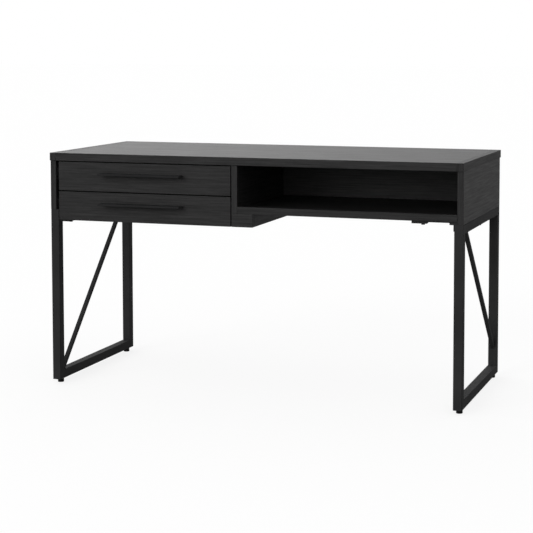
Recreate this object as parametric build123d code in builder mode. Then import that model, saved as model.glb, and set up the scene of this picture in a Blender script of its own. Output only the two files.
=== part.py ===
"""Writing desk: two drawers on the left, an open compartment on the right, two welded leg frames.

Millimetres, +Z up, front towards -Y. The origin is on the floor, under the centre of the
whole desk's box, which reaches from the drawer handles to the rear edge of the top.
"""

import os

from build123d import *

os.makedirs("parts", exist_ok=True)

# ---- Overall ----
desk_width = 1350.0
desk_depth = 580.0
desk_height = 750.0

# ---- Boards ----
top_thickness = 25.0
top_strip_width = 20.0  # cross-grained strip at each end of the top
panel_thickness = 19.0  # side panels, divider, fascia and drawer fronts
side_panel_height = 158.0
front_setback = 5.0  # carcass and legs behind the front edge of the top
rear_overhang = 16.0  # top beyond the side panels and rear legs
drawer_bay_width = 602.0  # clear width between the left side panel and the divider
compartment_depth = 440.0  # front faces to the back panel
back_panel_thickness = 16.0
shelf_thickness = 16.0
shelf_rail_height = 22.0
shelf_rail_thickness = 18.0
shelf_lift = 8.0  # shelf underside above the foot of the side panels
bank_drop = 33.0  # drawer fronts reach this far below the side panels
bank_bottom_thickness = 12.0
bank_bottom_drop = 2.0  # bank bottom below the lower edge of the drawer fronts
fascia_width = 69.0
board_edge_radius = 0.8

# ---- Leg frames: mitred square tube ----
tube_size = 28.0
tube_wall = 2.0
tube_corner_radius = 1.5
frame_lift = 13.0  # frame above the floor, on its levelling feet
frame_clearance = 1.0  # lower drawer front to the leg beside it
brace_size = 12.0
left_brace_low_inset = 12.0  # foot of the left brace behind the front leg
left_brace_high_inset = 19.0  # head of the left brace in front of the rear leg
right_brace_high_inset = 64.0  # head of the right brace behind the front leg
right_brace_leg_height = 64.0  # where the right brace meets the rear leg, above the rail

# ---- Drawers ----
front_gap = 3.0
handle_length = 278.0  # flat plate, fixed edge-on to the drawer front
handle_thickness = 6.0
handle_projection = 34.0
handle_edge_radius = 0.8
handle_drop = 33.0  # plate's upper face below the top edge of its front
finger_groove_width = 12.0
finger_groove_depth = 1.8
finger_groove_inset = 7.0  # groove behind the front edge of the plate
finger_groove_end = 12.0  # groove short of each end of the plate
box_wall = 12.0
box_length = 400.0
box_rise = 15.0  # box above the lower edge of its front
box_height = 66.0
box_bottom_thickness = 6.0
box_bottom_rise = 8.0
groove_depth = 5.0
groove_end_gap = 0.5

# ---- Ball runners: three nested channels on each side ----
runner_width = 12.7  # least space between the cabinet wall and the drawer box
rail_to_box = 2.0  # least clearance, top rail of the left frame to the drawer box
runner_length = 400.0
runner_centre_rise = 38.0  # runner centre above the foot of the box
runner_steel = 1.2
runner_front_gap = 2.0
runner_slip = 0.3
cabinet_member_height = 35.0
cabinet_member_depth = 9.0
middle_member_start = 2.4
middle_member_end = 10.4
drawer_member_start = 5.0

# ---- Fixings ----
dowel_radius = 4.0
dowel_depth_below = 18.0
dowel_depth_above = 12.0
dowel_end_inset = 50.0
frame_bolt_radius = 3.0
frame_bolt_head_radius = 5.5
frame_bolt_head_height = 4.0
frame_bolt_inset = 40.0  # end bolts from the inner faces of the legs
frame_bolt_reach = 22.0
insert_radius = 4.5
insert_length = 16.0
bolt_clearance = 0.2
thread_clearance = 0.05
handle_screw_radius = 1.5
handle_screw_head_radius = 3.2
handle_screw_head_height = 2.2
handle_screw_reach = 12.0
handle_screw_inset = 24.0  # screw from the end of the plate

# ---- Plates that tie the frames to the carcass ----
plate_thickness = 3.0
left_plate_length = 36.0
left_plate_depth = 42.0
right_plate_length = 130.0
right_plate_depth = 22.0
plate_front_inset = 4.0
boss_length = 46.0
boss_thickness = 5.0
boss_bolt_inset = 33.0
gusset_length = 15.0
gusset_height = 6.0
flange_drop = 20.0
plate_bolt_bite = 9.0
plate_bolt_margin = 11.0

# ---- Levelling feet ----
foot_inset = 28.0  # foot centre from the outer face of the leg, front and rear
foot_pad_radius = 10.0
foot_rim_height = 10.0
foot_neck_radius = 8.5
foot_pad_height = 11.5
stud_radius = 4.0
stud_top_gap = 2.0
stud_seat_depth = 3.0
nut_radius = 6.0
nut_length = 16.0
nut_flange_radius = 8.0
nut_flange_thickness = 1.0

# ---- Levels, worked out from the sizes above ----
top_under = desk_height - top_thickness
frame_top = top_under - side_panel_height
rail_under = frame_top - tube_size
rail_over = frame_lift + tube_size
shelf_under = frame_top + shelf_lift
bank_under = frame_top - bank_drop
bank_bottom_under = bank_under - bank_bottom_drop
front_height = (top_under - bank_under - 2 * front_gap) / 2
lower_front_foot = bank_under
upper_front_foot = bank_under + front_height + front_gap

# ---- Places across the width ----
runner_space = max(runner_width, tube_size - panel_thickness + rail_to_box)
half_width = desk_width / 2
panel_inner = half_width - panel_thickness
tube_inner = half_width - tube_size
tube_centre = half_width - tube_size / 2
panel_centre = half_width - panel_thickness / 2
divider_left = -panel_inner + drawer_bay_width
divider_right = divider_left + panel_thickness
fascia_right = divider_left + fascia_width
front_left = -tube_inner + frame_clearance
front_right = divider_left - front_gap
bay_centre = divider_left - drawer_bay_width / 2
box_left = -panel_inner + runner_space
box_right = divider_left - runner_space

# ---- Places along the depth ----
handle_overhang = handle_projection - front_setback
top_front = -(desk_depth + handle_overhang) / 2 + handle_overhang
top_back = top_front + desk_depth
carcass_front = top_front + front_setback
carcass_back = top_back - rear_overhang
back_panel_front = carcass_front + compartment_depth
back_panel_back = back_panel_front + back_panel_thickness
front_board_back = carcass_front + panel_thickness
leg_front_inner = carcass_front + tube_size
leg_back_inner = carcass_back - tube_size
box_back = front_board_back + box_length
bank_bottom_front = front_board_back + front_gap
plate_front = carcass_front + plate_front_inset


def finish(piece, name):
    """Labels a finished piece and writes it as its own node."""
    piece.part.label = name
    export_step(piece.part, f"parts/{name}.step")


def board(x0, x1, y0, y1, z0, z1, edge_radius=board_edge_radius):
    """A flat board or plate between two corners, all its edges eased."""
    with BuildPart() as piece:
        with BuildSketch(Plane(origin=((x0 + x1) / 2, (y0 + y1) / 2, z0))):
            Rectangle(x1 - x0, y1 - y0)
        extrude(amount=z1 - z0)
        if edge_radius:
            fillet(piece.edges(), edge_radius)
    return piece


def rounds(piece, plane, points, length, radius, mode=Mode.ADD):
    """Round rods, or round holes with Mode.SUBTRACT, that stand on the plane at the points."""
    with BuildSketch(plane) as circles:
        with Locations(*points):
            Circle(radius)
    with piece:
        extrude(circles.sketch, amount=length, mode=mode)


def drill_up(piece, points, z, depth, radius):
    """Holes that start at height z and go up into the piece."""
    rounds(piece, Plane.XY.offset(z), points, depth, radius, Mode.SUBTRACT)


def rods(points, z0, z1, radius):
    """Upright round rods from z0 to z1, one at each point."""
    piece = BuildPart()
    rounds(piece, Plane.XY.offset(z0), points, z1 - z0, radius)
    return piece


def facing_front(y):
    """The upright plane at depth y that looks out of the desk's front, its own y pointing up."""
    return Plane.XZ.offset(-y)


# ---- Dowels between the top and what stands under it ----
side_dowel_rows = (
    carcass_front + dowel_end_inset,
    (carcass_front + carcass_back) / 2,
    carcass_back - dowel_end_inset,
)
left_dowels = [(-panel_centre, y) for y in side_dowel_rows]
right_dowels = [(panel_centre, y) for y in side_dowel_rows]
divider_dowels = [
    ((divider_left + divider_right) / 2, carcass_front + dowel_end_inset),
    ((divider_left + divider_right) / 2, back_panel_front - dowel_end_inset),
]
back_dowels = [
    (x, (back_panel_front + back_panel_back) / 2)
    for x in (-panel_inner + dowel_end_inset, divider_right + dowel_end_inset, panel_inner - dowel_end_inset)
]
dowels = rods(
    left_dowels + right_dowels + divider_dowels + back_dowels,
    top_under - dowel_depth_below,
    top_under + dowel_depth_above,
    dowel_radius,
)
finish(dowels, "carcass_dowels")

# ---- Top ----
top_panel = board(
    -half_width + top_strip_width, half_width - top_strip_width, top_front, top_back, top_under, desk_height
)
drill_up(top_panel, divider_dowels + back_dowels, top_under, dowel_depth_above, dowel_radius)
finish(top_panel, "top_panel")

for side, sign, holes in (("left", -1, left_dowels), ("right", 1, right_dowels)):
    edges_x = sorted((sign * half_width, sign * (half_width - top_strip_width)))
    strip = board(*edges_x, top_front, top_back, top_under, desk_height)
    drill_up(strip, holes, top_under, dowel_depth_above, dowel_radius)
    finish(strip, f"top_end_strip_{side}")

# ---- Side panels, each with threaded inserts in its foot ----
frame_bolt_rows = (
    leg_front_inner + frame_bolt_inset,
    (carcass_front + carcass_back) / 2,
    leg_back_inner - frame_bolt_inset,
)
frame_bolt_points = [(sign * panel_centre, y) for sign in (-1, 1) for y in frame_bolt_rows]

for side, sign, holes in (("left", -1, left_dowels), ("right", 1, right_dowels)):
    edges_x = sorted((sign * half_width, sign * panel_inner))
    panel = board(*edges_x, carcass_front, carcass_back, frame_top, top_under)
    own_bolts = [p for p in frame_bolt_points if p[0] * sign > 0]
    drill_up(panel, holes, top_under - dowel_depth_below, dowel_depth_below, dowel_radius)
    drill_up(panel, own_bolts, frame_top, insert_length, insert_radius)
    drill_up(panel, own_bolts, frame_top, frame_bolt_reach + bolt_clearance, frame_bolt_radius + bolt_clearance)
    finish(panel, f"side_panel_{side}")

with BuildPart() as panel_inserts:
    with BuildSketch(Plane.XY.offset(frame_top)):
        with Locations(*frame_bolt_points):
            Circle(insert_radius)
            Circle(frame_bolt_radius + thread_clearance, mode=Mode.SUBTRACT)
    extrude(amount=insert_length)
finish(panel_inserts, "panel_inserts")

# ---- Back panel ----
back_panel = board(-panel_inner, panel_inner, back_panel_front, back_panel_back, shelf_under, top_under)
drill_up(back_panel, back_dowels, top_under - dowel_depth_below, dowel_depth_below, dowel_radius)
finish(back_panel, "back_panel")

# ---- Divider, notched at its lower front corner behind the fascia ----
with BuildPart() as divider:
    with BuildSketch(Plane.YZ.offset(divider_left)):
        Polygon(
            (carcass_front, shelf_under),
            (front_board_back, shelf_under),
            (front_board_back, bank_under),
            (back_panel_front, bank_under),
            (back_panel_front, top_under),
            (carcass_front, top_under),
            align=None,
        )
    extrude(amount=panel_thickness)
    fillet(divider.edges().group_by(Axis.Y)[0], board_edge_radius)
drill_up(divider, divider_dowels, top_under - dowel_depth_below, dowel_depth_below, dowel_radius)
finish(divider, "divider")

# ---- Shelf and the taller rail along its front ----
right_plate_rows = (
    plate_front + right_plate_depth / 2,
    back_panel_front - plate_front_inset - right_plate_depth / 2,
)
right_plate_tip = tube_inner - right_plate_length
shelf_bolt_points = [(right_plate_tip + boss_bolt_inset, y) for y in right_plate_rows]

shelf = board(
    divider_right,
    panel_inner,
    carcass_front + shelf_rail_thickness,
    back_panel_front,
    shelf_under,
    shelf_under + shelf_thickness,
)
shelf_rail = board(
    divider_right,
    panel_inner,
    carcass_front,
    carcass_front + shelf_rail_thickness,
    shelf_under,
    shelf_under + shelf_rail_height,
)
drill_up(shelf_rail, shelf_bolt_points[:1], shelf_under, plate_bolt_bite, frame_bolt_radius)
drill_up(shelf, shelf_bolt_points[1:], shelf_under, plate_bolt_bite, frame_bolt_radius)
finish(shelf, "shelf")
finish(shelf_rail, "shelf_front_rail")

# ---- Drawer bank below the shelf: fascia, outer side, bottom and rear rail ----
finish(
    board(divider_left, fascia_right, carcass_front, front_board_back, bank_under, shelf_under),
    "bank_fascia",
)
finish(
    board(
        fascia_right - panel_thickness, fascia_right, front_board_back, back_panel_front, bank_under, shelf_under
    ),
    "bank_outer_side",
)
finish(
    board(front_left, fascia_right, back_panel_front, back_panel_back, bank_under, shelf_under),
    "bank_rear_rail",
)
left_plate_bolt = (
    -tube_inner + left_plate_length - plate_bolt_margin,
    plate_front + left_plate_depth - plate_bolt_margin,
)
bank_bottom = board(
    front_left,
    divider_left,
    bank_bottom_front,
    back_panel_front,
    bank_bottom_under,
    bank_bottom_under + bank_bottom_thickness,
)
drill_up(bank_bottom, [left_plate_bolt], bank_bottom_under, plate_bolt_bite, frame_bolt_radius)
finish(bank_bottom, "bank_bottom")


# ---- Leg frames ----
def ring_member(outer_x, corner_a, corner_b, inward):
    """One mitred tube of a frame ring, between two outer corners given as (y, z)."""
    a = Vector(*corner_a)
    b = Vector(*corner_b)
    along = (b - a).normalized()
    inwards = Vector(*inward)

    def trapezium(near, far):
        points = (
            a + (inwards + along) * near,
            b + (inwards - along) * near,
            b + (inwards - along) * far,
            a + (inwards + along) * far,
        )
        return [(p.X, p.Y) for p in points]

    with BuildPart() as member:
        with BuildSketch(Plane.YZ.offset(outer_x)):
            Polygon(*trapezium(0, tube_size), align=None)
        extrude(amount=tube_size)
        run = Axis.Y if abs(along.X) > abs(along.Y) else Axis.Z
        fillet(member.edges().filter_by(run), tube_corner_radius)
        with BuildSketch(Plane.YZ.offset(outer_x + tube_wall)):
            Polygon(*trapezium(tube_wall, tube_size - tube_wall), align=None)
        extrude(amount=tube_size - 2 * tube_wall, mode=Mode.SUBTRACT)
    return member


def brace(centre_x, low, high, high_on, low_on):
    """A square bar between two points (y, z), its ends cut flat on a rail or on a leg."""
    slope = Vector(high[0] - low[0], high[1] - low[1]).normalized()
    across = abs(brace_size / 2 / slope.Y)
    upright = abs(brace_size / 2 / slope.X)

    def cut(point, where):
        y, z = point
        if where == "rail":
            return (y - across, z), (y + across, z)
        turn = -1 if slope.X * slope.Y < 0 else 1
        return (y, z + turn * upright), (y, z - turn * upright)

    low_left, low_right = cut(low, low_on)
    high_left, high_right = cut(high, high_on)
    with BuildPart() as bar:
        with BuildSketch(Plane.YZ.offset(centre_x - brace_size / 2)):
            Polygon(low_left, low_right, high_right, high_left, align=None)
        extrude(amount=brace_size)
    return bar


foot_rows = (carcass_front + foot_inset, carcass_back - foot_inset)
ring_corners = {
    "front_low": (carcass_front, frame_lift),
    "front_high": (carcass_front, frame_top),
    "rear_low": (carcass_back, frame_lift),
    "rear_high": (carcass_back, frame_top),
}
braces = {
    "left": dict(
        low=(leg_front_inner + left_brace_low_inset, rail_over),
        high=(leg_back_inner - left_brace_high_inset, rail_under),
        low_on="rail",
        high_on="rail",
    ),
    "right": dict(
        low=(leg_back_inner, rail_over + right_brace_leg_height),
        high=(leg_front_inner + right_brace_high_inset, rail_under),
        low_on="leg",
        high_on="rail",
    ),
}

for side, sign in (("left", -1), ("right", 1)):
    outer_x = min(sign * half_width, sign * tube_inner)
    bolts = [(sign * panel_centre, y) for y in frame_bolt_rows]
    feet = [(sign * tube_centre, y) for y in foot_rows]

    front_leg = ring_member(outer_x, ring_corners["front_low"], ring_corners["front_high"], (1, 0))
    finish(front_leg, f"{side}_front_leg")
    rear_leg = ring_member(outer_x, ring_corners["rear_high"], ring_corners["rear_low"], (-1, 0))
    finish(rear_leg, f"{side}_rear_leg")
    top_rail = ring_member(outer_x, ring_corners["front_high"], ring_corners["rear_high"], (0, -1))
    drill_up(top_rail, bolts, rail_under, tube_size, frame_bolt_radius + bolt_clearance)
    finish(top_rail, f"{side}_top_rail")
    bottom_rail = ring_member(outer_x, ring_corners["rear_low"], ring_corners["front_low"], (0, 1))
    drill_up(bottom_rail, feet, frame_lift, tube_wall, nut_radius)
    finish(bottom_rail, f"{side}_bottom_rail")
    finish(brace(sign * tube_centre, **braces[side]), f"{side}_brace")

# ---- Frame bolts: heads under the top rails, shanks up into the panel inserts ----
frame_bolts = rods(frame_bolt_points, rail_under, frame_top + frame_bolt_reach, frame_bolt_radius)
head_plane = Plane.XY.offset(rail_under - frame_bolt_head_height)
rounds(frame_bolts, head_plane, frame_bolt_points, frame_bolt_head_height, frame_bolt_head_radius)
finish(frame_bolts, "frame_bolts")

# ---- Left plate: welded to the front leg, bolted up into the bank bottom ----
left_plate_under = bank_bottom_under - plate_thickness
left_plate = board(
    -tube_inner,
    -tube_inner + left_plate_length,
    plate_front,
    plate_front + left_plate_depth,
    left_plate_under,
    bank_bottom_under,
    edge_radius=0,
)
drill_up(left_plate, [left_plate_bolt], left_plate_under, plate_thickness, frame_bolt_radius + bolt_clearance)
finish(left_plate, "left_mounting_plate")

# ---- Right plates: over the top rail and down its inner face, with a gusset, bar and boss ----
with BuildPart() as right_plates:
    for y in right_plate_rows:
        with BuildSketch(facing_front(y + right_plate_depth / 2)):
            Polygon(
                (panel_inner, shelf_under),
                (right_plate_tip, shelf_under),
                (right_plate_tip, shelf_under - plate_thickness - boss_thickness),
                (right_plate_tip + boss_length, shelf_under - plate_thickness - boss_thickness),
                (right_plate_tip + boss_length, shelf_under - plate_thickness),
                (tube_inner - gusset_length, shelf_under - plate_thickness),
                (tube_inner - gusset_length, shelf_under - plate_thickness - gusset_height),
                (tube_inner - plate_thickness, shelf_under - plate_thickness - gusset_height),
                (tube_inner - plate_thickness, frame_top - flange_drop),
                (tube_inner, frame_top - flange_drop),
                (tube_inner, frame_top),
                (panel_inner, frame_top),
                align=None,
            )
        extrude(amount=right_plate_depth)
drill_up(
    right_plates,
    shelf_bolt_points,
    shelf_under - plate_thickness - boss_thickness,
    plate_thickness + boss_thickness,
    frame_bolt_radius + bolt_clearance,
)
finish(right_plates, "right_mounting_plates")

plate_bolts = BuildPart()
for points, seat, grip in (
    ([left_plate_bolt], left_plate_under, plate_thickness),
    (shelf_bolt_points, shelf_under - plate_thickness - boss_thickness, plate_thickness + boss_thickness),
):
    rounds(plate_bolts, Plane.XY.offset(seat), points, grip + plate_bolt_bite, frame_bolt_radius)
    head_plane = Plane.XY.offset(seat - frame_bolt_head_height)
    rounds(plate_bolts, head_plane, points, frame_bolt_head_height, frame_bolt_head_radius)
finish(plate_bolts, "plate_bolts")

# ---- Levelling feet ----
foot_places = {
    f"{side}_{end}": (sign * tube_centre, y)
    for side, sign in (("left", -1), ("right", 1))
    for end, y in zip(("front", "rear"), foot_rows)
}
with BuildPart() as foot_nuts:
    with BuildSketch(Plane.XY.offset(frame_lift)):
        with Locations(*foot_places.values()):
            Circle(nut_radius)
    extrude(amount=nut_length)
    with BuildSketch(Plane.XY.offset(frame_lift - nut_flange_thickness)):
        with Locations(*foot_places.values()):
            Circle(nut_flange_radius)
    extrude(amount=nut_flange_thickness)
    with BuildSketch(Plane.XY.offset(frame_lift - nut_flange_thickness)):
        with Locations(*foot_places.values()):
            Circle(stud_radius + thread_clearance)
    extrude(amount=nut_flange_thickness + nut_length, mode=Mode.SUBTRACT)
finish(foot_nuts, "foot_nuts")

stud_top = rail_over - tube_wall - stud_top_gap
for place, (x, y) in foot_places.items():
    with BuildPart() as pad:
        with BuildSketch(Plane(origin=(x, y, 0), x_dir=(1, 0, 0), z_dir=(0, -1, 0))):
            with BuildLine():
                Polyline(
                    (0, 0),
                    (foot_pad_radius - 1, 0),
                    (foot_pad_radius, 1),
                    (foot_pad_radius, foot_rim_height),
                    (foot_neck_radius, foot_pad_height - 1),
                    (foot_neck_radius, foot_pad_height),
                    (stud_radius, foot_pad_height),
                    (stud_radius, foot_pad_height - stud_seat_depth),
                    (0, foot_pad_height - stud_seat_depth),
                    close=True,
                )
            make_face()
        revolve(axis=Axis((x, y, 0), (0, 0, 1)))
    finish(pad, f"foot_pad_{place}")
    finish(
        rods([(x, y)], foot_pad_height - stud_seat_depth, stud_top, stud_radius), f"foot_stud_{place}"
    )


# ---- Drawers ----
def channel_pair(inner, outer, height, centre_z, back, web_at):
    """The left and right steel channels of one runner member.

    inner and outer are distances from the cabinet wall; web_at is "wall" or "box"."""
    with BuildPart() as pair:
        for wall_x, sign in ((-panel_inner, 1), (divider_left, -1)):
            web_side = inner if web_at == "wall" else outer
            lip_side = outer if web_at == "wall" else inner
            inwards = 1 if lip_side > web_side else -1
            with BuildSketch(facing_front(back)):
                Polygon(
                    (wall_x + sign * web_side, centre_z - height / 2),
                    (wall_x + sign * lip_side, centre_z - height / 2),
                    (wall_x + sign * lip_side, centre_z - height / 2 + runner_steel),
                    (wall_x + sign * (web_side + inwards * runner_steel), centre_z - height / 2 + runner_steel),
                    (wall_x + sign * (web_side + inwards * runner_steel), centre_z + height / 2 - runner_steel),
                    (wall_x + sign * lip_side, centre_z + height / 2 - runner_steel),
                    (wall_x + sign * lip_side, centre_z + height / 2),
                    (wall_x + sign * web_side, centre_z + height / 2),
                    align=None,
                )
            extrude(amount=runner_length)
    return pair


middle_member_height = cabinet_member_height - 2 * (runner_steel + runner_slip)
drawer_member_height = middle_member_height - 2 * (runner_steel + runner_slip)
screw_xs = (
    bay_centre - handle_length / 2 + handle_screw_inset,
    bay_centre + handle_length / 2 - handle_screw_inset,
)
handle_front = carcass_front - handle_projection

for level, foot in (("upper", upper_front_foot), ("lower", lower_front_foot)):
    head = foot + front_height
    box_foot = foot + box_rise
    box_head = box_foot + box_height
    bottom_under = box_foot + box_bottom_rise
    bottom_over = bottom_under + box_bottom_thickness
    handle_over = head - handle_drop
    handle_under = handle_over - handle_thickness
    runner_z = box_foot + runner_centre_rise
    runner_back = front_board_back + runner_front_gap + runner_length

    screw_points = [(x, (handle_over + handle_under) / 2) for x in screw_xs]
    inside_face = facing_front(front_board_back)

    front = board(front_left, front_right, carcass_front, front_board_back, foot, head)
    rounds(
        front, inside_face, screw_points, panel_thickness, handle_screw_radius + bolt_clearance, Mode.SUBTRACT
    )
    with BuildSketch(inside_face) as groove:
        with Locations(((box_left + box_right) / 2, (bottom_under + bottom_over) / 2)):
            Rectangle(box_right - box_left - 2 * (box_wall - groove_depth), box_bottom_thickness)
    with front:
        extrude(groove.sketch, amount=groove_depth, mode=Mode.SUBTRACT)
    finish(front, f"{level}_drawer_front")

    for side, x0, groove_x in (
        ("left", box_left, box_left + box_wall - groove_depth),
        ("right", box_right - box_wall, box_right - box_wall),
    ):
        with BuildPart() as wall:
            with BuildSketch(facing_front(box_back)):
                with Locations((x0 + box_wall / 2, (box_foot + box_head) / 2)):
                    Rectangle(box_wall, box_height)
                with Locations((groove_x + groove_depth / 2, (bottom_under + bottom_over) / 2)):
                    Rectangle(groove_depth, box_bottom_thickness, mode=Mode.SUBTRACT)
            extrude(amount=box_length)
        finish(wall, f"{level}_drawer_side_{side}")

    finish(
        board(
            box_left + box_wall, box_right - box_wall, box_back - box_wall, box_back, bottom_over, box_head,
            edge_radius=0,
        ),
        f"{level}_drawer_back",
    )
    finish(
        board(
            box_left + box_wall - groove_depth + groove_end_gap,
            box_right - box_wall + groove_depth - groove_end_gap,
            front_board_back - groove_depth + groove_end_gap,
            box_back,
            bottom_under,
            bottom_over,
            edge_radius=0,
        ),
        f"{level}_drawer_bottom",
    )

    handle = board(
        bay_centre - handle_length / 2,
        bay_centre + handle_length / 2,
        handle_front,
        carcass_front,
        handle_under,
        handle_over,
        edge_radius=handle_edge_radius,
    )
    groove_y = handle_front + finger_groove_inset + finger_groove_width / 2
    with BuildSketch(Plane(origin=(bay_centre, groove_y, handle_under))) as finger_groove:
        SlotOverall(handle_length - 2 * finger_groove_end, finger_groove_width)
    with handle:
        extrude(finger_groove.sketch, amount=finger_groove_depth, mode=Mode.SUBTRACT)
    outside_face = facing_front(carcass_front)
    rounds(handle, outside_face, screw_points, handle_screw_reach, handle_screw_radius, Mode.SUBTRACT)
    finish(handle, f"{level}_handle")

    screws = BuildPart()
    rounds(screws, inside_face, screw_points, panel_thickness + handle_screw_reach, handle_screw_radius)
    head_face = facing_front(front_board_back + handle_screw_head_height)
    rounds(screws, head_face, screw_points, handle_screw_head_height, handle_screw_head_radius)
    finish(screws, f"{level}_handle_screws")

    finish(
        channel_pair(0, cabinet_member_depth, cabinet_member_height, runner_z, runner_back, "wall"),
        f"{level}_runner_cabinet_members",
    )
    finish(
        channel_pair(
            middle_member_start, middle_member_end, middle_member_height, runner_z, runner_back, "wall"
        ),
        f"{level}_runner_middle_members",
    )
    finish(
        channel_pair(
            drawer_member_start, runner_space, drawer_member_height, runner_z, runner_back, "box"
        ),
        f"{level}_runner_drawer_members",
    )

print(f"frame top {frame_top:g}, shelf {shelf_under:g}, bank {bank_under:g}, drawer fronts {front_height:g} mm")
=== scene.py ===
"""Looks of the writing desk: stained oak boards, powder-coated frames, drawers and feet."""

import math

import bmesh
import bpy
from mathutils import Matrix, Vector


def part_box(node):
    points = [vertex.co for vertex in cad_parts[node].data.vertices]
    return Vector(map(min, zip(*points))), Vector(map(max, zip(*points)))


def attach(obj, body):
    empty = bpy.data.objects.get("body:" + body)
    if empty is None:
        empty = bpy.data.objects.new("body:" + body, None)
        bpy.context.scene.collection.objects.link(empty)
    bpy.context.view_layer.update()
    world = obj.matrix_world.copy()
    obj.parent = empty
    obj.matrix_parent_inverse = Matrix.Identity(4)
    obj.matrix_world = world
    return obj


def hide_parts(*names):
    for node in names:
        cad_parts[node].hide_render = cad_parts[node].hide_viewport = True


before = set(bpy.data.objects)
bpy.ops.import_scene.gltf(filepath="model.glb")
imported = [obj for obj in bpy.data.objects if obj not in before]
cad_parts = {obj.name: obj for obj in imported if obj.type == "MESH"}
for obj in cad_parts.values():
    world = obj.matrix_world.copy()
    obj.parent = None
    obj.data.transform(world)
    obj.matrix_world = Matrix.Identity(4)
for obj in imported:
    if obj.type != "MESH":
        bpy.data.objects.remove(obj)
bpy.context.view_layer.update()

MM = 0.001
X, Y, Z = Vector((1, 0, 0)), Vector((0, 1, 0)), Vector((0, 0, 1))
LEVELS = ("upper", "lower")
SIDES = ("left", "right")
FEET = ("left_front", "left_rear", "right_front", "right_rear")

# Rounding of edges
BOARD_EDGE = 0.8 * MM
TUBE_CORNER = 1.5 * MM
BRACE_EDGE = 0.9 * MM
HANDLE_EDGE = 0.8 * MM

# Weld beads
CORNER_BEAD = 1.3 * MM
BRACE_BEAD = 1.5 * MM
CORNER_BEAD_INSET = 2.5 * MM  # end of a corner bead from the side of the tube
BRACE_BEAD_INSET = 1.2 * MM  # end of a brace bead from the side of the bar
RIPPLE = 1.1 * MM  # from one ripple of a bead to the next

# Bolts and screws
BOLT_HEAD = 4 * MM  # height of the head
SCREW_HEAD = 2.2 * MM
BOLT_SHANK = 6 / 11  # shank radius as a share of the head's
SCREW_SHANK = 0.46

# Finger groove under a handle
GROOVE_MARGIN = 7 * MM  # from the groove to the ends and the front of the plate
GROOVE_WALL = 1.5 * MM
GROOVE_DEPTH = 1.8 * MM

# Thread of a foot stud
THREAD_DEPTH = 0.65 * MM
THREAD_PITCH = 1.25 * MM


# ---- Shader helpers ----
def material(name, **settings):
    """A new material, its main shader's own sockets set to the settings."""
    made = bpy.data.materials.new(name)
    made.use_nodes = True
    shader = made.node_tree.nodes["Principled BSDF"]
    for socket, value in settings.items():
        shader.inputs[socket.replace("_", " ")].default_value = value
    return made


def add(made, kind, **settings):
    """Adds one node to a material or a world."""
    node = made.node_tree.nodes.new(kind)
    for key, value in settings.items():
        setattr(node, key, value)
    return node


def join(made, source, target):
    made.node_tree.links.new(source, target)


def stretched(made, scale):
    """Object coordinates, scaled on each axis."""
    place = add(made, "ShaderNodeTexCoord")
    mapping = add(made, "ShaderNodeMapping")
    mapping.inputs["Scale"].default_value = scale
    join(made, place.outputs["Object"], mapping.inputs["Vector"])
    return mapping.outputs["Vector"]


def noise(made, vector, scale, detail=4.0, roughness=0.5, distortion=0.0):
    """Noise on the coordinates, as one value from 0 to 1."""
    texture = add(made, "ShaderNodeTexNoise")
    texture.inputs["Scale"].default_value = scale
    texture.inputs["Detail"].default_value = detail
    texture.inputs["Roughness"].default_value = roughness
    texture.inputs["Distortion"].default_value = distortion
    join(made, vector, texture.inputs["Vector"])
    return texture.outputs["Fac"]


def ramp(made, value, low, high, low_colour, high_colour):
    """Turns a value into a colour between two, from low to high."""
    node = add(made, "ShaderNodeValToRGB")
    first, last = node.color_ramp.elements
    first.position = low
    last.position = high
    first.color = (*low_colour, 1)
    last.color = (*high_colour, 1)
    join(made, value, node.inputs["Fac"])
    return node.outputs["Color"]


def stretch_range(made, value, low, high, to_low, to_high):
    """Maps a value from one range to another."""
    node = add(made, "ShaderNodeMapRange")
    for socket, number in (("From Min", low), ("From Max", high), ("To Min", to_low), ("To Max", to_high)):
        node.inputs[socket].default_value = number
    join(made, value, node.inputs["Value"])
    return node.outputs["Result"]


def mix(made, share, first, second, blend="MIX"):
    """Mixes two colours; share is a number or a value."""
    node = add(made, "ShaderNodeMix", data_type="RGBA", blend_type=blend)
    if isinstance(share, float):
        node.inputs["Factor"].default_value = share
    else:
        join(made, share, node.inputs["Factor"])
    join(made, first, node.inputs[6])
    join(made, second, node.inputs[7])
    return node.outputs[2]


def bump(made, height, strength, distance, below=None):
    """Bump from a height, on top of another bump if there is one."""
    node = add(made, "ShaderNodeBump")
    node.inputs["Strength"].default_value = strength
    node.inputs["Distance"].default_value = distance
    join(made, height, node.inputs["Height"])
    if below is not None:
        join(made, below, node.inputs["Normal"])
    return node.outputs["Normal"]


def wire(made, **sources):
    """Joins values to the main shader's sockets."""
    shader = made.node_tree.nodes["Principled BSDF"]
    for socket, source in sources.items():
        join(made, source, shader.inputs[socket.replace("_", " ")])


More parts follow.
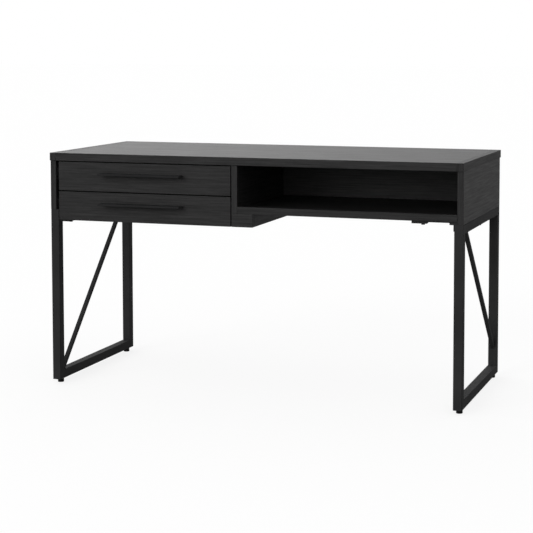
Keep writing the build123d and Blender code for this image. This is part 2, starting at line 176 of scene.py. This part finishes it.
# ---- Finishes ----
def stained_oak(name, grain, depth=1.0, shine=0.3):
    """Black-stained open-grain oak veneer, its grain along one axis; a colour scale below 1 paints shade
    into it.
    """
    made = material(name, Specular_IOR_Level=shine)
    along = {"x": (1, 0, 0), "y": (0, 1, 0), "z": (0, 0, 1)}[grain]
    streaks = stretched(made, [8.0 if a else 230.0 for a in along])
    figure = stretched(made, [2.2 if a else 26.0 for a in along])
    pores = stretched(made, [55.0 if a else 1500.0 for a in along])

    fine = noise(made, streaks, 1.0, detail=5.0, roughness=0.65)
    broad = noise(made, figure, 1.0, detail=3.0, roughness=0.55, distortion=0.5)
    pore = noise(made, pores, 1.0, detail=2.0, roughness=0.5)

    # The colour scale multiplies both streak colours: below 1 it is painted shade, not a deeper stain.
    dark = tuple(depth * value for value in (0.0042, 0.0040, 0.0041))
    light = tuple(depth * value for value in (0.026, 0.0255, 0.0258))
    streak_colour = ramp(made, fine, 0.32, 0.70, dark, light)
    broad_colour = ramp(made, broad, 0.30, 0.72, (0.76, 0.76, 0.76), (1.18, 1.17, 1.17))
    tinted = mix(made, 1.0, streak_colour, broad_colour, "MULTIPLY")
    pore_share = stretch_range(made, pore, 0.30, 0.44, 0.6, 0.0)
    black = add(made, "ShaderNodeRGB")
    black.outputs[0].default_value = (0.002, 0.002, 0.002, 1)
    colour = mix(made, pore_share, tinted, black.outputs[0])

    gloss = stretch_range(made, fine, 0.3, 0.7, 0.56, 0.44)
    pore_height = stretch_range(made, pore, 0.30, 0.46, 0.0, 1.0)
    grooves = bump(made, pore_height, 0.30, 0.12 * MM)
    ridges = bump(made, fine, 0.35, 0.10 * MM, grooves)
    wire(made, Base_Color=colour, Roughness=gloss, Normal=ridges)
    return made


def powder_coat(name="black_powder_coat", shine=0.15):
    """Matt black powder coat with its fine orange-peel texture."""
    made = material(name, Specular_IOR_Level=shine)
    fine = noise(made, stretched(made, (1, 1, 1)), 2600.0, detail=2.0)
    waves = noise(made, stretched(made, (1, 1, 1)), 620.0, detail=2.0)
    broad = noise(made, stretched(made, (1, 1, 1)), 9.0, detail=3.0)
    colour = ramp(made, broad, 0.3, 0.7, (0.022, 0.022, 0.0225), (0.030, 0.030, 0.0305))
    gloss = stretch_range(made, waves, 0.3, 0.7, 0.70, 0.82)
    peel = bump(made, waves, 0.25, 0.06 * MM)
    grit = bump(made, fine, 0.25, 0.03 * MM, peel)
    wire(made, Base_Color=colour, Roughness=gloss, Normal=grit)
    return made


def black_oxide():
    """Black oxide on steel bolts, slightly oily, with fine turning marks."""
    made = material("black_steel_bolt", Metallic=1.0)
    marks = noise(made, stretched(made, (60, 60, 2400)), 1.0, detail=3.0)
    broad = noise(made, stretched(made, (1, 1, 1)), 240.0, detail=3.0)
    colour = ramp(made, broad, 0.3, 0.7, (0.035, 0.035, 0.038), (0.075, 0.074, 0.078))
    gloss = stretch_range(made, marks, 0.3, 0.7, 0.30, 0.42)
    wire(made, Base_Color=colour, Roughness=gloss, Normal=bump(made, marks, 0.2, 0.02 * MM))
    return made


def zinc_plate():
    """Bright zinc on steel: drawn runner channels, studs and screws."""
    made = material("zinc_steel", Metallic=1.0)
    drawn = noise(made, stretched(made, (900, 14, 900)), 1.0, detail=3.0)
    cloud = noise(made, stretched(made, (1, 1, 1)), 60.0, detail=4.0, roughness=0.6)
    colour = ramp(made, cloud, 0.3, 0.7, (0.50, 0.51, 0.53), (0.68, 0.69, 0.71))
    gloss = stretch_range(made, drawn, 0.3, 0.7, 0.26, 0.40)
    wire(made, Base_Color=colour, Roughness=gloss, Normal=bump(made, drawn, 0.15, 0.02 * MM))
    return made


def box_board():
    """Black laminated board of the drawer boxes, with a faint pressed pattern."""
    made = material("drawer_box_board", Specular_IOR_Level=0.35)
    press = noise(made, stretched(made, (1, 1, 1)), 900.0, detail=3.0)
    broad = noise(made, stretched(made, (1, 1, 1)), 14.0, detail=4.0)
    colour = ramp(made, broad, 0.3, 0.7, (0.030, 0.029, 0.028), (0.043, 0.042, 0.041))
    gloss = stretch_range(made, press, 0.3, 0.7, 0.48, 0.60)
    wire(made, Base_Color=colour, Roughness=gloss, Normal=bump(made, press, 0.3, 0.05 * MM))
    return made


def beech():
    """Plain turned beech, its short flecks along the dowel."""
    made = material("beech_dowel")
    fleck = noise(made, stretched(made, (900, 900, 120)), 1.0, detail=3.0)
    broad = noise(made, stretched(made, (60, 60, 8)), 1.0, detail=3.0)
    base = ramp(made, broad, 0.3, 0.7, (0.56, 0.38, 0.23), (0.66, 0.48, 0.31))
    dark = ramp(made, fleck, 0.30, 0.45, (0.70, 0.66, 0.60), (1.0, 1.0, 1.0))
    colour = mix(made, 1.0, base, dark, "MULTIPLY")
    gloss = stretch_range(made, fleck, 0.3, 0.7, 0.66, 0.54)
    wire(made, Base_Color=colour, Roughness=gloss, Normal=bump(made, fleck, 0.3, 0.05 * MM))
    return made


def moulded_plastic():
    """Moulded black plastic of the foot pads, with a fine spark-eroded texture."""
    made = material("black_plastic", Specular_IOR_Level=0.2)
    grain = noise(made, stretched(made, (1, 1, 1)), 1500.0, detail=2.0)
    scuff = noise(made, stretched(made, (1, 1, 1)), 120.0, detail=4.0)
    colour = ramp(made, scuff, 0.35, 0.75, (0.004, 0.004, 0.004), (0.009, 0.009, 0.0085))
    gloss = stretch_range(made, scuff, 0.3, 0.7, 0.42, 0.58)
    wire(made, Base_Color=colour, Roughness=gloss, Normal=bump(made, grain, 0.3, 0.04 * MM))
    return made


oak_x = stained_oak("stained_oak_grain_across", "x")
oak_y = stained_oak("stained_oak_grain_front_to_back", "y")
oak_z = stained_oak("stained_oak_grain_upright", "z")
# End strips: colour scaled to 0.8 as painted shade for the weaker sheen of grain seen across its run, and
# shine lowered.
shaded_oak_strip = stained_oak("stained_oak_end_strip_painted_shade", "y", depth=0.8, shine=0.2)
coat = powder_coat()
handle_coat = powder_coat("black_powder_coat_handles", shine=0.02)
bolt_black = black_oxide()
zinc = zinc_plate()
laminate = box_board()
dowel_beech = beech()
pad_plastic = moulded_plastic()


# ---- Mesh helpers ----
def ease(mesh, edges, radius, segments=3):
    """Rounds over the edges and shades only the rounding smooth."""
    made = bmesh.ops.bevel(
        mesh,
        geom=edges,
        offset=radius,
        offset_type="OFFSET",
        affect="EDGES",
        segments=segments,
        profile=0.5,
        material=-1,
        clamp_overlap=True,
    )
    for face in made["faces"]:
        face.smooth = True


def block(low, high):
    """A plain block between two corners."""
    mesh = bmesh.new()
    bmesh.ops.create_cube(mesh, size=1)
    bmesh.ops.scale(mesh, vec=high - low, verts=mesh.verts)
    bmesh.ops.translate(mesh, vec=(low + high) / 2, verts=mesh.verts)
    return mesh


def running(mesh, axis):
    """The edges that run along the axis."""
    return [e for e in mesh.edges if abs((e.verts[1].co - e.verts[0].co).normalized().dot(axis)) > 0.99]


def slice_off(mesh, point, normal):
    """Cuts away what lies beyond the plane and closes the cut."""
    geometry = mesh.verts[:] + mesh.edges[:] + mesh.faces[:]
    cut = bmesh.ops.bisect_plane(
        mesh, geom=geometry, dist=1e-7, plane_co=point, plane_no=normal, clear_outer=True
    )
    rim = [e for e in cut["geom_cut"] if isinstance(e, bmesh.types.BMEdge)]
    bmesh.ops.contextual_create(mesh, geom=rim)


def disc_stack(outline, centre, axis=Z, steps=40):
    """A turned shape from (radius, height) points, its axis through the centre."""
    mesh = bmesh.new()
    turn = Z.rotation_difference(axis).to_matrix()
    corners = [mesh.verts.new(Vector(centre) + turn @ Vector((r, 0, h))) for r, h in outline]
    edges = [mesh.edges.new(pair) for pair in zip(corners, corners[1:])]
    bmesh.ops.spin(
        mesh, geom=corners + edges, cent=centre, axis=axis, angle=math.tau, steps=steps, use_merge=True
    )
    bmesh.ops.remove_doubles(mesh, verts=mesh.verts, dist=1e-7)
    bmesh.ops.recalc_face_normals(mesh, faces=mesh.faces)
    return mesh


def merged(*meshes):
    """Several meshes as one."""
    whole = bmesh.new()
    for mesh in meshes:
        data = bpy.data.meshes.new("part")
        mesh.to_mesh(data)
        mesh.free()
        whole.from_mesh(data)
        bpy.data.meshes.remove(data)
    return whole


def sharpen(obj, angle=35):
    """Smooth shading that breaks at sharp edges."""
    obj.data.shade_smooth()
    obj.data.set_sharp_from_angle(angle=math.radians(angle))


def piece(name, mesh, finish, slot, body, *nodes):
    """Makes the mesh a finished piece that rides on its body and stands for the nodes."""
    data = bpy.data.meshes.new(name)
    mesh.to_mesh(data)
    mesh.free()
    finishes = finish if isinstance(finish, tuple) else (finish,)
    for one in finishes:
        data.materials.append(one)
    obj = bpy.data.objects.new(name, data)
    bpy.context.scene.collection.objects.link(obj)
    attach(obj, body)
    if nodes:
        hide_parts(*nodes)
    return obj


def keep(node, finish):
    """Shows the frame's own node in this finish."""
    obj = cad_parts[node]
    obj.data.materials.clear()
    obj.data.materials.append(finish)


# ---- Boards ----
def board(
    node, finish, body="desk", radius=BOARD_EDGE, edge_finish=None, edge_axis=None, slot="stained_veneer"
):
    """One board with eased edges; its faces across edge_axis can have their own grain."""
    low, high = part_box(node)
    mesh = block(low, high)
    ease(mesh, mesh.edges[:], radius)
    if edge_finish:
        for face in mesh.faces:
            face.material_index = int(abs(face.normal.dot(edge_axis)) > 0.72)
    finishes = (finish, edge_finish) if edge_finish else finish
    piece(node + "_board", mesh, finishes, slot, body, node)


def top_boards():
    """The top between its two cross-grained end strips."""
    board("top_panel", oak_x, radius=0.9 * MM)
    for side in SIDES:
        board(f"top_end_strip_{side}", shaded_oak_strip, radius=0.9 * MM, edge_finish=oak_z, edge_axis=Y)


def divider_board():
    """The divider, notched behind the fascia at its lower front corner."""
    low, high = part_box("divider")
    fascia_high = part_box("bank_fascia")[1]
    mesh = bmesh.new()
    outline = (
        (low.y, fascia_high.z),
        (fascia_high.y, fascia_high.z),
        (fascia_high.y, low.z),
        (high.y, low.z),
        (high.y, high.z),
        (low.y, high.z),
    )
    corners = [mesh.verts.new((low.x, y, z)) for y, z in outline]
    face = mesh.faces.new(corners)
    made = bmesh.ops.extrude_face_region(mesh, geom=[face])
    moved = [v for v in made["geom"] if isinstance(v, bmesh.types.BMVert)]
    bmesh.ops.translate(mesh, vec=X * (high.x - low.x), verts=moved)
    bmesh.ops.recalc_face_normals(mesh, faces=mesh.faces)
    ease(mesh, mesh.edges[:], BOARD_EDGE)
    for face in mesh.faces:
        face.material_index = int(face.normal.y < -0.72)
    piece("divider_board", mesh, (oak_y, oak_z), "stained_veneer", "desk", "divider")


def carcass_boards():
    """The fixed boards below the top."""
    for side in SIDES:
        board(f"side_panel_{side}", oak_y, edge_finish=oak_z, edge_axis=Y)
    divider_board()
    board("back_panel", oak_x)
    board("shelf", oak_x, radius=0.5 * MM)
    board("shelf_front_rail", oak_x, radius=0.7 * MM)
    board("bank_fascia", oak_x)
    board("bank_outer_side", oak_y, radius=0.6 * MM)
    board("bank_rear_rail", oak_x, radius=0.6 * MM)
    board("bank_bottom", oak_x, radius=0.6 * MM)


# ---- Leg frames ----
def frame_member(side, part, run):
    """One tube of a leg frame, mitred where it meets its neighbours."""
    node = f"{side}_{part}"
    low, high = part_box(node)
    ring_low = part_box(f"{side}_bottom_rail")[0]
    ring_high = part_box(f"{side}_top_rail")[1]
    middle = (ring_low + ring_high) / 2
    own_middle = (low + high) / 2
    mesh = block(low, high)
    ease(mesh, running(mesh, run), TUBE_CORNER, segments=4)
    for y in (ring_low.y, ring_high.y):
        for z in (ring_low.z, ring_high.z):
            corner = Vector((own_middle.x, y, z))
            if (corner - own_middle).length > (high - low).length / 2 + 1 * MM:
                continue
            diagonal = Vector((0, math.copysign(1, middle.y - y), math.copysign(1, middle.z - z)))
            normal = Vector((0, -diagonal.z, diagonal.y)).normalized()
            if normal.dot(own_middle - corner) > 0:
                normal = -normal
            slice_off(mesh, corner, normal)
    piece(node + "_tube", mesh, coat, "black_powder_coat", "desk", node)


def brace_bar(side):
    """The diagonal bar inside a leg frame, its long edges just broken."""
    node = f"{side}_brace"
    mesh = bmesh.new()
    mesh.from_mesh(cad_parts[node].data)
    bmesh.ops.remove_doubles(mesh, verts=mesh.verts, dist=1e-6)
    bmesh.ops.dissolve_limit(mesh, angle_limit=0.01, verts=mesh.verts, edges=mesh.edges)
    length = max(e.calc_length() for e in mesh.edges)
    ease(mesh, [e for e in mesh.edges if e.calc_length() > length * 0.8], BRACE_EDGE)
    piece(node + "_bar", mesh, coat, "black_powder_coat", "desk", node)


def weld(a, b, radius):
    """A small weld bead between two points, with its ripples."""
    run = b - a
    count = max(3, round(run.length / RIPPLE))
    mesh = bmesh.new()
    for i in range(count + 1):
        place = Matrix.Translation(a + run * (i / count))
        swell = Matrix.Diagonal((radius, radius, radius, 1))
        bmesh.ops.create_icosphere(mesh, subdivisions=2, radius=1, matrix=place @ swell)
    for face in mesh.faces:
        face.smooth = True
    return mesh


def frame_welds(side):
    """Weld beads in the inner corners of the frame and at both ends of its brace."""
    ring_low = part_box(f"{side}_bottom_rail")[0]
    ring_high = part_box(f"{side}_top_rail")[1]
    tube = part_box(f"{side}_bottom_rail")[1].z - ring_low.z
    half = tube / 2 - CORNER_BEAD_INSET
    centre_x = (ring_low.x + ring_high.x) / 2
    beads = []
    for y in (ring_low.y + tube, ring_high.y - tube):
        for z in (ring_low.z + tube, ring_high.z - tube):
            a = Vector((centre_x - half, y, z))
            b = Vector((centre_x + half, y, z))
            beads.append(weld(a, b, CORNER_BEAD))
    low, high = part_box(f"{side}_brace")
    reach = (high.x - low.x) / 2 - BRACE_BEAD_INSET
    corners = bmesh.new()
    corners.from_mesh(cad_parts[f"{side}_brace"].data)
    bmesh.ops.remove_doubles(corners, verts=corners.verts, dist=1e-6)
    ends = [v.co.copy() for v in corners.verts if v.co.x < centre_x]
    corners.free()
    for end in ends:
        a = Vector((centre_x - reach, end.y, end.z))
        b = Vector((centre_x + reach, end.y, end.z))
        beads.append(weld(a, b, BRACE_BEAD))
    piece(f"{side}_frame_welds", merged(*beads), coat, "black_powder_coat", "desk")


def leg_frames():
    """Both welded leg frames."""
    for side in SIDES:
        frame_member(side, "front_leg", Z)
        frame_member(side, "rear_leg", Z)
        frame_member(side, "top_rail", Y)
        frame_member(side, "bottom_rail", Y)
        brace_bar(side)
        frame_welds(side)


# ---- Plates and bolts ----
def socket_bolt(foot, axis, shank, head_radius, head_height, shank_radius):
    """A round-head bolt with a hexagon socket; foot is the middle of its head's outer face."""
    turn = Z.rotation_difference(axis).to_matrix().to_4x4()
    place = Matrix.Translation(foot) @ turn
    head = bmesh.new()
    face_radius = head_radius * 0.9
    key_radius = head_radius * 0.52
    key_depth = head_height * 0.6
    chamfer = head_height * 0.1
    rim = bmesh.ops.create_circle(head, segments=36, radius=face_radius, cap_ends=False)["verts"]
    hexagon = bmesh.ops.create_circle(head, segments=6, radius=key_radius, cap_ends=False)["verts"]
    rim_edges = list({e for v in rim for e in v.link_edges})
    socket_edges = list({e for v in hexagon for e in v.link_edges})
    bmesh.ops.bridge_loops(head, edges=rim_edges + socket_edges)
    deep = bmesh.ops.extrude_edge_only(head, edges=socket_edges)["geom"]
    floor = [v for v in deep if isinstance(v, bmesh.types.BMVert)]
    bmesh.ops.translate(head, vec=Z * key_depth, verts=floor)
    bmesh.ops.contextual_create(head, geom=[e for e in deep if isinstance(e, bmesh.types.BMEdge)])
    for radius, height in ((head_radius, chamfer), (head_radius, head_height)):
        wall = bmesh.ops.extrude_edge_only(head, edges=rim_edges)["geom"]
        ring = [v for v in wall if isinstance(v, bmesh.types.BMVert)]
        rim_edges = [e for e in wall if isinstance(e, bmesh.types.BMEdge)]
        for vert in ring:
            flat = Vector((vert.co.x, vert.co.y)).normalized() * radius
            vert.co = (flat.x, flat.y, height)
    bmesh.ops.contextual_create(head, geom=rim_edges)
    bmesh.ops.recalc_face_normals(head, faces=head.faces)
    bmesh.ops.transform(head, matrix=place, verts=head.verts)
    rod = bmesh.new()
    bmesh.ops.create_cone(
        rod, cap_ends=True, segments=20, radius1=shank_radius, radius2=shank_radius, depth=shank
    )
    lift = Matrix.Translation(Z * (head_height + shank / 2))
    bmesh.ops.transform(rod, matrix=place @ lift, verts=rod.verts)
    return merged(head, rod)


def islands(node):
    """The boxes of the separate solids in one node."""
    mesh = bmesh.new()
    mesh.from_mesh(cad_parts[node].data)
    bmesh.ops.remove_doubles(mesh, verts=mesh.verts, dist=1e-6)
    waiting = set(mesh.verts)
    found = []
    while waiting:
        reached = [waiting.pop()]
        cluster = []
        while reached:
            vert = reached.pop()
            cluster.append(vert.co.copy())
            for edge in vert.link_edges:
                other = edge.other_vert(vert)
                if other in waiting:
                    waiting.remove(other)
                    reached.append(other)
        low = Vector([min(c[i] for c in cluster) for i in range(3)])
        high = Vector([max(c[i] for c in cluster) for i in range(3)])
        found.append((low, high))
    mesh.free()
    return sorted(found, key=lambda pair: tuple(round(v, 4) for v in pair[0]))


def upright_bolts(node):
    """Bolts with their heads down, one for each solid of the node."""
    bolts = []
    for low, high in islands(node):
        middle = (low + high) / 2
        foot = Vector((middle.x, middle.y, low.z))
        radius = (high.x - low.x) / 2
        shank = high.z - low.z - BOLT_HEAD
        bolts.append(socket_bolt(foot, Z, shank, radius, BOLT_HEAD, radius * BOLT_SHANK))
    obj = piece(node + "_turned", merged(*bolts), bolt_black, "black_steel_bolt", "desk", node)
    sharpen(obj)


def fixings():
    """Plates, bolts, inserts and dowels."""
    board("left_mounting_plate", coat, radius=0.4 * MM, slot="black_powder_coat")
    keep("right_mounting_plates", coat)
    upright_bolts("frame_bolts")
    upright_bolts("plate_bolts")
    keep("panel_inserts", zinc)
    keep("foot_nuts", zinc)
    keep("carcass_dowels", dowel_beech)


# ---- Drawers ----
def plate_handle(level):
    """A flat plate fixed edge-on to the drawer front, with a finger groove milled underneath."""
    low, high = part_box(f"{level}_handle")
    plate = block(low, high)
    ease(plate, plate.edges[:], HANDLE_EDGE, segments=4)
    under = min(plate.faces, key=lambda face: face.calc_center_median().z)
    bmesh.ops.inset_individual(plate, faces=[under], thickness=GROOVE_MARGIN, use_even_offset=True)
    back = [v for v in under.verts if v.co.y > (low.y + high.y) / 2]
    bmesh.ops.translate(plate, vec=-GROOVE_MARGIN * Y, verts=back)
    bmesh.ops.inset_individual(plate, faces=[under], thickness=GROOVE_WALL, depth=-GROOVE_DEPTH)
    name = f"{level}_plate_handle"
    piece(name, plate, handle_coat, "black_powder_coat", f"{level}_drawer", f"{level}_handle")


def handle_screws(level):
    """The two screws that hold a handle, heads inside the drawer."""
    made = []
    for low, high in islands(f"{level}_handle_screws"):
        middle = (low + high) / 2
        foot = Vector((middle.x, high.y, middle.z))
        radius = (high.x - low.x) / 2
        shank = high.y - low.y - SCREW_HEAD
        made.append(socket_bolt(foot, -Y, shank, radius, SCREW_HEAD, radius * SCREW_SHANK))
    node = f"{level}_handle_screws"
    obj = piece(node + "_turned", merged(*made), zinc, "zinc_steel", f"{level}_drawer", node)
    sharpen(obj)


def drawer(level):
    """One drawer: front, box, handle and runners."""
    body = f"{level}_drawer"
    board(f"{level}_drawer_front", oak_x, body, radius=1.0 * MM)
    for part in ("side_left", "side_right", "back", "bottom"):
        board(f"{level}_drawer_{part}", laminate, body, radius=0.5 * MM, slot="drawer_box_board")
    plate_handle(level)
    handle_screws(level)
    for member in ("cabinet", "middle", "drawer"):
        keep(f"{level}_runner_{member}_members", zinc)


# ---- Levelling feet ----
def foot(place):
    """A round moulded pad with a grip ring, on a threaded stud."""
    body = f"foot_{place}"
    low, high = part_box(f"foot_pad_{place}")
    middle = Vector(((low.x + high.x) / 2, (low.y + high.y) / 2, 0))
    radius = (high.x - low.x) / 2
    top = high.z
    sole_hollow = 0.4 * MM
    ring_depth = 0.5 * MM
    outline = (
        (0, sole_hollow),
        (radius * 0.72, sole_hollow),
        (radius * 0.76, 0),
        (radius - 0.8 * MM, 0),
        (radius, 0.8 * MM),
        (radius, 2.6 * MM),
        (radius - ring_depth, 3.0 * MM),
        (radius - ring_depth, 3.6 * MM),
        (radius, 4.0 * MM),
        (radius, top - 2.0 * MM),
        (radius - 1.5 * MM, top - 0.8 * MM),
        (radius - 1.8 * MM, top),
        (0, top),
    )
    moulded = disc_stack(outline, middle, steps=56)
    node = f"foot_pad_{place}"
    pad = piece(node + "_moulded", moulded, pad_plastic, "black_plastic", body, node)
    sharpen(pad, 40)

    node = f"foot_stud_{place}"
    stud_low, stud_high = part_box(node)
    crest = (stud_high.x - stud_low.x) / 2
    root = crest - THREAD_DEPTH
    length = stud_high.z - stud_low.z
    turns = int((length - THREAD_PITCH) / THREAD_PITCH)
    outline = [(0, 0), (root, 0)]
    for i in range(turns):
        outline.append((crest, (i + 0.4) * THREAD_PITCH))
        outline.append((crest, (i + 0.55) * THREAD_PITCH))
        outline.append((root, (i + 0.95) * THREAD_PITCH))
    outline += [(root, length), (0, length)]
    thread = disc_stack(outline, Vector((middle.x, middle.y, stud_low.z)), steps=28)
    stud = piece(node + "_threaded", thread, zinc, "zinc_steel", body, node)
    sharpen(stud, 25)


# ---- Room ----
def floor_paper():
    """White paper that glows to the camera only; everything else is lit by a plain grey floor."""
    made = bpy.data.materials.new("floor_paper")
    made.use_nodes = True
    made.node_tree.nodes.clear()
    glow = add(made, "ShaderNodeEmission")
    glow.inputs["Strength"].default_value = 0.822
    paper = add(made, "ShaderNodeBsdfDiffuse")
    paper.inputs["Color"].default_value = (0.20, 0.20, 0.20, 1)
    shown = add(made, "ShaderNodeAddShader")
    join(made, glow.outputs["Emission"], shown.inputs[0])
    join(made, paper.outputs["BSDF"], shown.inputs[1])
    grey = add(made, "ShaderNodeBsdfDiffuse")
    grey.inputs["Color"].default_value = (0.30, 0.30, 0.30, 1)
    path = add(made, "ShaderNodeLightPath")
    chosen = add(made, "ShaderNodeMixShader")
    output = add(made, "ShaderNodeOutputMaterial")
    join(made, path.outputs["Is Camera Ray"], chosen.inputs["Fac"])
    join(made, grey.outputs["BSDF"], chosen.inputs[1])
    join(made, shown.outputs["Shader"], chosen.inputs[2])
    join(made, chosen.outputs["Shader"], output.inputs["Surface"])
    return made


def studio_floor():
    """A wide white floor."""
    plane = bmesh.new()
    bmesh.ops.create_grid(plane, x_segments=1, y_segments=1, size=60)
    data = bpy.data.meshes.new("studio_floor")
    plane.to_mesh(data)
    plane.free()
    data.materials.append(floor_paper())
    floor = bpy.data.objects.new("studio_floor", data)
    bpy.context.scene.collection.objects.link(floor)


def studio_walls():
    """A room that looks white, with even light all round and more from behind on the left."""
    world = bpy.data.worlds.new("studio")
    bpy.context.scene.world = world
    world.use_nodes = True
    world.node_tree.nodes.clear()
    direction = add(world, "ShaderNodeTexCoord")
    toward = add(world, "ShaderNodeVectorMath", operation="DOT_PRODUCT")
    toward.inputs[1].default_value = Vector((-0.75, 0.66, 0.0)).normalized()
    join(world, direction.outputs["Generated"], toward.inputs[0])
    level = add(world, "ShaderNodeMapRange", interpolation_type="SMOOTHSTEP")
    level.inputs["From Min"].default_value = 0.6
    level.inputs["From Max"].default_value = 1.0
    level.inputs["To Min"].default_value = 0.83
    level.inputs["To Max"].default_value = 2.8
    join(world, toward.outputs["Value"], level.inputs["Value"])
    lit = add(world, "ShaderNodeBackground")
    join(world, level.outputs["Result"], lit.inputs["Strength"])
    shown = add(world, "ShaderNodeBackground")
    shown.inputs["Color"].default_value = (1, 1, 1, 1)
    path = add(world, "ShaderNodeLightPath")
    chosen = add(world, "ShaderNodeMixShader")
    output = add(world, "ShaderNodeOutputWorld")
    join(world, path.outputs["Is Camera Ray"], chosen.inputs["Fac"])
    join(world, lit.outputs["Background"], chosen.inputs[1])
    join(world, shown.outputs["Background"], chosen.inputs[2])
    join(world, chosen.outputs["Shader"], output.inputs["Surface"])


def broad_light(name, round_left, height, spread, strength):
    """A large soft light in front of the desk, turned to the left and raised by two angles in degrees."""
    light = bpy.data.lights.new(name, "SUN")
    light.energy = strength
    light.angle = math.radians(spread)
    obj = bpy.data.objects.new(name, light)
    turn, lift = math.radians(round_left), math.radians(height)
    toward = Vector((-math.sin(turn) * math.cos(lift), -math.cos(turn) * math.cos(lift), math.sin(lift)))
    obj.rotation_euler = toward.to_track_quat("Z", "Y").to_euler()
    bpy.context.scene.collection.objects.link(obj)


def camera():
    """Eye level a little above the top, from the front right."""
    data = bpy.data.cameras.new("camera")
    data.sensor_width = 36
    data.lens = 101.025
    data.shift_x = -0.0629
    data.shift_y = -0.2186
    data.clip_end = 100
    obj = bpy.data.objects.new("camera", data)
    obj.location = (1.5950, -4.5615, 1.1076)
    obj.rotation_euler = (math.radians(90 - 4.175), 0, math.radians(18.377))
    bpy.context.scene.collection.objects.link(obj)
    bpy.context.scene.camera = obj


top_boards()
carcass_boards()
leg_frames()
fixings()
for level in LEVELS:
    drawer(level)
for place in FEET:
    foot(place)

studio_floor()
studio_walls()
broad_light("key", round_left=28, height=21, spread=30, strength=0.72)
broad_light("fill", round_left=0, height=10, spread=60, strength=0.50)
camera()

scene = bpy.context.scene
scene.view_settings.view_transform = "Standard"
scene.view_settings.look = "None"
